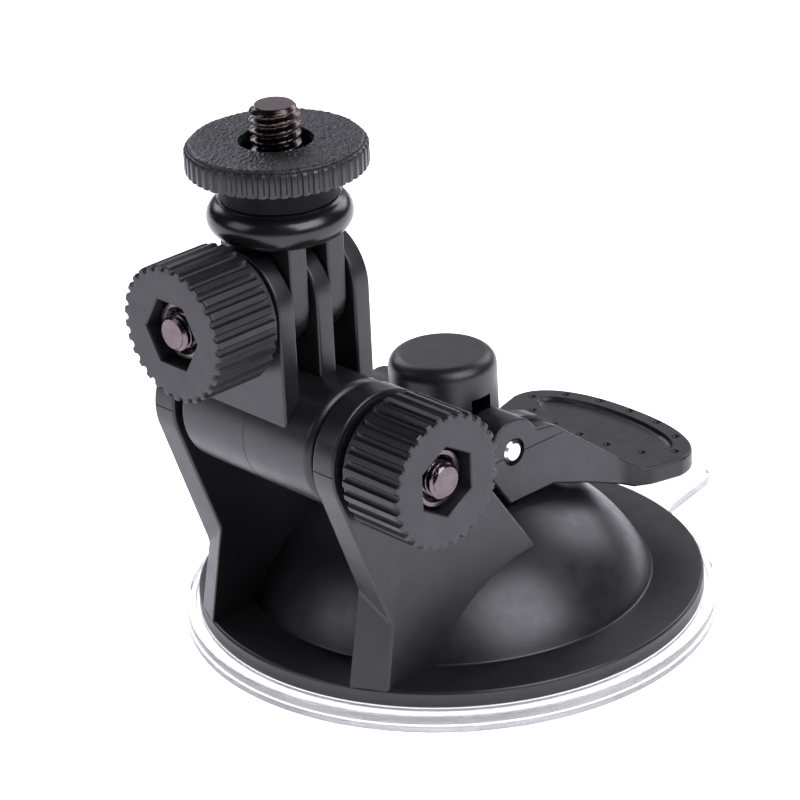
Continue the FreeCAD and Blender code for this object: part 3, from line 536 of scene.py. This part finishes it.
def lever():
    """Forked lever with a dished paddle, cut from a side view and a plan."""
    side = rounded([
        (-0.9, 19.1), (7.2, 19.1), (14.0, 16.6, 8), (20.0, 14.1, 6),
        (22.2, 13.2), (36.6, 13.2), (36.6, 15.8), (23.3, 15.8), (8.3, 27.1),
        (7.0, 27.8), (4.3, 28.2), *arc(0, 26.4, 4.6, 40, 180, 12), (-4.6, 24.4),
    ], step=30)
    blank_rings = [[(x, p[0], p[1]) for p in side] for x in (-16.4, 16.4)]
    piece = solid("lock_lever", skin(blank_rings, False))
    tip = [oval(15.8, 7.8, 28.6, 2.3, math.radians(angle)) for angle in range(0, 91, 3)]
    plan = [(12.8, -8), (12.8, 7.0), (12.4, 20.6, 3), (14.6, 24.3, 4), *tip]
    mirrored = [(-p[0], *p[1:]) for p in reversed(plan[:-1])]
    combine(piece, [plate(rounded(plan + mirrored, step=12), 10, 34)], "INTERSECT")
    fork = [(7.45, -8), (7.45, 7.0), (9.2, 14.5), (9.2, 22.0, 1.5),
            (-9.2, 22.0, 1.5), (-9.2, 14.5), (-7.45, 7.0), (-7.45, -8)]
    combine(piece, [plate(rounded(fork, step=20), 10, 34)])
    soften(piece, 0.36)
    ridge = [(2.6, 28.0), (2.6, 29.6), (5.4, 28.9), (7.2, 28.3), (9.6, 26.7), (13.6, 23.2), (9, 23)]
    for side in (1, -1):
        band = skin([[(side * x, *p) for p in ridge] for x in (7.6, 10.0)], False)
        combine(piece, [band], "UNION")
    holes = [round_bar(1.56, -20, 20), round_bar(1.9, 12.1, 14), round_bar(1.9, -14, -12.1)]
    combine(piece, holes, place=PIN @ ALONG_X)
    lines = [box_skin((side * 12.8 - 0.11, side * 12.8 + 0.11), reach, (25.95, 26.1))
             for side in (1, -1) for reach in ((-5, -1.95), (1.95, 9.2))]
    combine(piece, lines)
    combine(piece, [paddle_dish(), *paddle_dimples()])
    present(piece, LEVER_SATIN, "lever", ["lever"])


def lever_pin():
    """Ground pin with chamfered ends."""
    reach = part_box("lever_pin")[1].x / MM + 0.25
    profile = [(AXIS, -reach), (1.15, -reach), (1.5, -reach + 0.3), (1.5, reach - 0.3),
               (1.15, reach), (AXIS, reach)]
    pin = solid("pin_through_lever", turned(profile, 96, False), PIN @ ALONG_X)
    present(pin, BRIGHT, "stem", ["lever_pin"], sharp=20)


# ---------------------------------------------------------------- barrel and head

def barrel():
    """Barrel with a fine parting line round its middle, and three round-topped ears."""
    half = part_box("tilt_barrel")[1].x / MM
    profile = rounded([
        (BOLT_HOLE, -half), (8.45, -half, 1.2), (8.45, -0.09), (8.36, 0), (8.45, 0.09),
        (8.45, half, 1.2), (BOLT_HOLE, half),
    ])
    piece = solid("tilt_barrel_body", turned(profile, 192), AT_TILT @ ALONG_X)
    present(piece, SATIN, "barrel", ["tilt_barrel"], sharp=25)
    rise = (SWIVEL.z - TILT.z) / MM
    foot = 3.0
    outline = [Vector((-7.45, foot)), Vector((7.45, foot)), *arc(0, rise, 7.45, 0, 180, 48)]
    for index, name in enumerate(("ear_front", "ear_middle", "ear_rear")):
        start = 6.3 * (index - 1) - 1.35
        rings = [[(p.x, y, p.y) for p in outline] for y in (start, start + 2.7)]
        ear = solid(name, skin(rings, False), AT_TILT)
        soften(ear, 0.38)
        combine(ear, [round_bar(BOLT_HOLE, -20, 20)], place=AT_SWIVEL @ TO_FRONT)
        if index == 2:
            recess = skin([ring_of(hexagon_reach(RECESS_FLATS), z, 120) for z in (-20, -6.15)], False)
            combine(ear, [recess], place=AT_SWIVEL @ TO_FRONT)
        present(ear, SATIN, "barrel")


def head():
    """Rounded glossy collar and neck over two ears."""
    profile = rounded([
        (0.3, 8.0), (6.9, 8.0, 0.6), *arc(6.85, 10.35, 2.35, -72, 66, 24), (7.6, 12.75, 0.3),
        (7.2, 12.75), (7.2, 13.4), (3.3, 13.4), (3.3, 11.2), (0.3, 11.2),
    ], closed=False)
    collar = solid("head_collar", turned(profile, 192, closed=False), AT_SWIVEL)
    present(collar, GLOSSY, "head", ["swivel_head"], sharp=40)
    sleeve = rounded([(3.3, 12.9), (7.5, 12.9), (7.35, 14.0), (7.45, 16.3, 0.3), (3.3, 16.3)])
    neck = solid("head_neck", turned(sleeve, 160), AT_SWIVEL)
    # The neck's material has its reflection turned down: painted shade for the shade under the disc.
    present(neck, NECK_PAINTED_SHADE, "head")
    outline = [Vector((6.5, 9.2)), Vector((-6.5, 9.2)), *arc(0, 0, 6.5, 180, 360, 48)]
    for side, name in ((-1, "tongue_front"), (1, "tongue_rear")):
        middle_y = side * 3.15
        rings = [[(p.x, y, p.y) for p in outline] for y in (middle_y - 1.5, middle_y + 1.5)]
        tongue = solid(name, skin(rings, False), AT_SWIVEL)
        soften(tongue, 0.35)
        combine(tongue, [round_bar(BOLT_HOLE, -20, 20)], place=AT_SWIVEL @ TO_FRONT)
        present(tongue, SATIN, "head")


def camera_screw():
    """Quarter-inch screw: 20 threads to the inch, with a chamfered tip."""
    low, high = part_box("camera_screw")
    length = (high.z - low.z) / MM
    rings = threaded(3.17, 1.27, 0.74, 0, length, 0.75)
    place = Matrix.Translation((0, TILT.y, low.z))
    screw = solid("quarter_inch_screw", skin(rings, False), place)
    present(screw, DARK_STEEL, "head", ["camera_screw"], sharp=50)


def thumb_disc():
    """Disc with round ribs and a well round the screw."""
    low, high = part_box("locking_disc")
    top = (high.z - low.z) / MM
    valley = tooth_valley(52, 0.34, 0.56)

    def ribbed(inset):
        return lambda angle: 11.45 - inset - valley(angle)
    profile = [
        (3.27, 0), (10.6, 0), (ribbed(0.35), 0), (ribbed(0.1), 0.12), (ribbed(0), 0.4),
        (ribbed(0), top - 0.75), (ribbed(0.12), top - 0.52), (11.12, top - 0.34),
        (11.05, top - 0.3), (10.97, top - 0.34), (10.94, top - 0.55), (4.6, top - 0.55),
        (4.6, 1.3), (4.45, 1.2), (3.45, 1.2), (3.27, 1.0),
    ]
    disc = solid("ribbed_disc", turned(profile, 1080), Matrix.Translation((0, TILT.y, low.z)))
    present(disc, DISC_SATIN, "disc", ["locking_disc"], sharp=30)


def disc_pad():
    """Ring pad whose face has the small raised cells of a leather grain."""
    low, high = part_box("disc_pad")
    wall = (high.z - low.z) / MM
    inner = [(4.65, 0), (4.65, wall - 0.16), (4.78, wall - 0.02)]
    outer = [(10.62, wall - 0.02), (10.8, wall - 0.11), (10.9, wall - 0.26), (10.9, 0)]
    profile = [*inner, *[(4.9 + 0.14 * k, wall) for k in range(40)], *outer]
    rings = []
    for index, (radius, height) in enumerate(profile):
        ring = ring_of(radius, height, 420)
        if len(inner) <= index < len(profile) - 2:
            ring = [(x, y, z - grain(x, y)) for x, y, z in ring]
        rings.append(ring)
    pad = solid("grained_pad", skin(rings, True), Matrix.Translation((0, TILT.y, low.z)))
    present(pad, PAD_GRAIN, "disc", ["disc_pad"], sharp=60)


def grain(x, y):
    """Depth of the creases between the grain's cells."""
    near, _spots = noise.voronoi(Vector((x * 1.6, y * 1.6, 0.3)))
    crease = max(0, 1 - (near[1] - near[0]) / 0.4)
    return 0.11 * crease


# ---------------------------------------------------------------- knobs, bolts and nuts

def knob(name, body, cad_node, place):
    """Thumb knob along +Z: plain collar, thirty round grooves, hexagon recess."""
    valley = tooth_valley(30, 0.62, 0.6)
    flats = hexagon_reach(RECESS_FLATS)
    length, collar, radius = 10.4, 8.0, 8.9

    def ribbed(inset):
        return lambda angle: radius - inset - valley(angle)
    profile = [
        (BOLT_HOLE, 0), (collar - 0.3, 0), (collar, 0.25), (collar, 0.85), (collar + 0.1, 0.9),
        (ribbed(0.25), 0.92), (ribbed(0.05), 1.05), (ribbed(0), 1.3), (ribbed(0), length - 0.4),
        (ribbed(0.05), length - 0.15), (ribbed(0.2), length - 0.02), (ribbed(0.36), length),
        (7.7, length), (lambda a: flats(a) + 0.16, length), (flats, length - 0.18), (flats, 4.8),
        (BOLT_HOLE, 4.8),
    ]
    piece = solid(name, turned(profile, 600), place)
    present(piece, KNOB_MATTE, body, [cad_node], sharp=30)


def nut(name, body, cad_node, place):
    """Hexagon nut along +Z with chamfered corners and mouth."""
    flats = hexagon_reach(NUT_FLATS)
    wall = 4.0
    profile = [
        (BOLT_HOLE, 0), (3.7, 0), (lambda a: min(flats(a), 4.3), 0.3), (flats, 0.6),
        (flats, wall - 0.6), (lambda a: min(flats(a), 4.25), wall - 0.42), (3.6, wall),
        (3.1, wall), (BOLT_HOLE, wall - 0.55),
    ]
    piece = solid(name, turned(profile, 180), place)
    present(piece, NICKEL, body, [cad_node], sharp=25)


def bolt(name, body, cad_node, place, grip):
    """Bolt along +Z: chamfered hexagon head below zero, plain shank, threaded end."""
    flats = hexagon_reach(NUT_FLATS)
    count = 72
    wall = BOLT_HEAD_WALL
    rings = [
        ring_of(3.7, -wall, count), ring_of(lambda a: min(flats(a), 4.3), -wall + 0.25, count),
        ring_of(flats, -wall + 0.5, count), ring_of(flats, 0, count),
        ring_of(2.5, 0, count), ring_of(2.5, grip - 9, count),
    ]
    rings += threaded(2.38, 0.8, 0.5, grip - 9, grip, 0.5, steps=16, count=count)[1:]
    piece = solid(name, skin(rings, False), place)
    present(piece, NICKEL, body, [cad_node], sharp=50)


def lower_hinge():
    start = Matrix.Translation((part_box("lower_knob")[0].x, TILT.y, TILT.z)) @ ALONG_X
    knob("tilt_knob", "lower_knob", "lower_knob", start)
    seat = Matrix.Translation((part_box("lower_nut")[0].x, TILT.y, TILT.z)) @ ALONG_X
    nut("tilt_nut", "lower_knob", "lower_nut", seat)
    low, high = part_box("lower_bolt")
    foot = Matrix.Translation((low.x + BOLT_HEAD_WALL * MM, TILT.y, TILT.z)) @ ALONG_X
    bolt("tilt_bolt", "base", "lower_bolt", foot, (high.x - low.x) / MM - BOLT_HEAD_WALL)


def upper_hinge():
    start = Matrix.Translation((0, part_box("upper_knob")[1].y, SWIVEL.z)) @ TO_FRONT
    knob("head_knob", "upper_knob", "upper_knob", start)
    seat = Matrix.Translation((0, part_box("upper_nut")[1].y, SWIVEL.z)) @ TO_FRONT
    nut("head_nut", "upper_knob", "upper_nut", seat)
    low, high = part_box("upper_bolt")
    foot = Matrix.Translation((0, high.y - BOLT_HEAD_WALL * MM, SWIVEL.z)) @ TO_FRONT
    bolt("head_bolt", "barrel", "upper_bolt", foot, (high.y - low.y) / MM - BOLT_HEAD_WALL)


def plain_nodes():
    """Hidden and simple nodes keep their CAD shape and get a detailed material."""
    looks = {
        "cup_stem": INNER, "stem_spring": WIRE, "spring_washer": BRIGHT,
        "friction_washer_left": FIBRE, "friction_washer_right": FIBRE,
        "lower_washer": NICKEL, "upper_washer": NICKEL,
    }
    for name, material in looks.items():
        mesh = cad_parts[name].data
        mesh.materials.clear()
        mesh.materials.append(material)


# ---------------------------------------------------------------- camera, light and floor

VIEW_AZIMUTH = math.radians(47.138)
VIEW_ELEVATION = math.radians(24.845)
VIEW_ROLL = math.radians(-2.681)
VIEW_DISTANCE = 0.50985
VIEW_TARGET_SIDE = -0.00578
VIEW_TARGET_HEIGHT = 0.030249
LENS = 174.287
COOL = (1.0, 0.985, 1.1)
LAMP_AIM_HEIGHT = 0.03
LAMP_DISTANCE = 0.7
# Name, azimuth and elevation in degrees, size in metres, power in watts.
LAMPS = (
    ("right_light", 96, 45, 0.5, 4.6),
    ("rear_right_light", 186, 30, 0.35, 1.3),
    ("rear_left_light", 258, 34, 0.35, 1.2),
    ("rear_light", 222, 32, 0.5, 0.6),
    ("front_light", -25, 32, 0.35, 0.8),
)


def camera():
    """Long lens that looks slightly down at the object from its front right."""
    level = Vector((math.cos(VIEW_AZIMUTH), math.sin(VIEW_AZIMUTH), 0))
    back = Vector((math.sin(VIEW_AZIMUTH) * math.cos(VIEW_ELEVATION),
                   -math.cos(VIEW_AZIMUTH) * math.cos(VIEW_ELEVATION),
                   math.sin(VIEW_ELEVATION)))
    raised_up = back.cross(level)
    right = level * math.cos(VIEW_ROLL) + raised_up * math.sin(VIEW_ROLL)
    up = raised_up * math.cos(VIEW_ROLL) - level * math.sin(VIEW_ROLL)
    place = Matrix((right, up, back)).transposed().to_4x4()
    target = level * VIEW_TARGET_SIDE + Vector((0, 0, VIEW_TARGET_HEIGHT))
    place.translation = target + back * VIEW_DISTANCE
    lens = bpy.data.cameras.new("camera")
    lens.lens = LENS
    lens.sensor_width = 36
    lens.clip_start = 0.01
    eye = bpy.data.objects.new("camera", lens)
    eye.matrix_world = place
    bpy.context.scene.collection.objects.link(eye)
    bpy.context.scene.camera = eye


def soft_light(name, azimuth, elevation, size, power):
    """A square soft light that faces the object from a direction given in degrees."""
    turn, rise = math.radians(azimuth), math.radians(elevation)
    away = Vector((math.sin(turn) * math.cos(rise), -math.cos(turn) * math.cos(rise),
                   math.sin(rise)))
    lamp = bpy.data.lights.new(name, "AREA")
    lamp.energy = power
    lamp.size = size
    lamp.color = COOL
    holder = bpy.data.objects.new(name, lamp)
    holder.location = away * LAMP_DISTANCE + Vector((0, 0, LAMP_AIM_HEIGHT))
    holder.rotation_euler = away.to_track_quat("Z", "Y").to_euler()
    bpy.context.scene.collection.objects.link(holder)


def studio():
    """Pale floor, pale surroundings and soft lights."""
    material, tree, shader, place = blank("floor")
    slow = noise_at(tree, place, 6)
    tree.links.new(two_tones(tree, slow, (0.80, 0.80, 0.80), (0.82, 0.82, 0.82)),
                   shader.inputs["Base Color"])
    shader.inputs["Roughness"].default_value = 0.9
    shader.inputs["Emission Color"].default_value = (*COOL, 1)
    shader.inputs["Emission Strength"].default_value = 1.2
    floor = solid("floor", box_skin((-4000, 4000), (-4000, 4000), (-10, -0.01)))
    floor.data.materials.append(material)
    world = bpy.data.worlds.new("surroundings")
    world.use_nodes = True
    glow = world.node_tree.nodes["Background"]
    glow.inputs["Color"].default_value = (1, 1, 1, 1)
    glow.inputs["Strength"].default_value = 0.02
    bpy.context.scene.world = world
    for lamp in LAMPS:
        soft_light(*lamp)
    bpy.context.scene.view_settings.view_transform = "Standard"


camera()
studio()
clear_cup()
housing()
cheeks()
lever()
lever_pin()
barrel()
head()
camera_screw()
thumb_disc()
disc_pad()
lower_hinge()
upper_hinge()
plain_nodes()
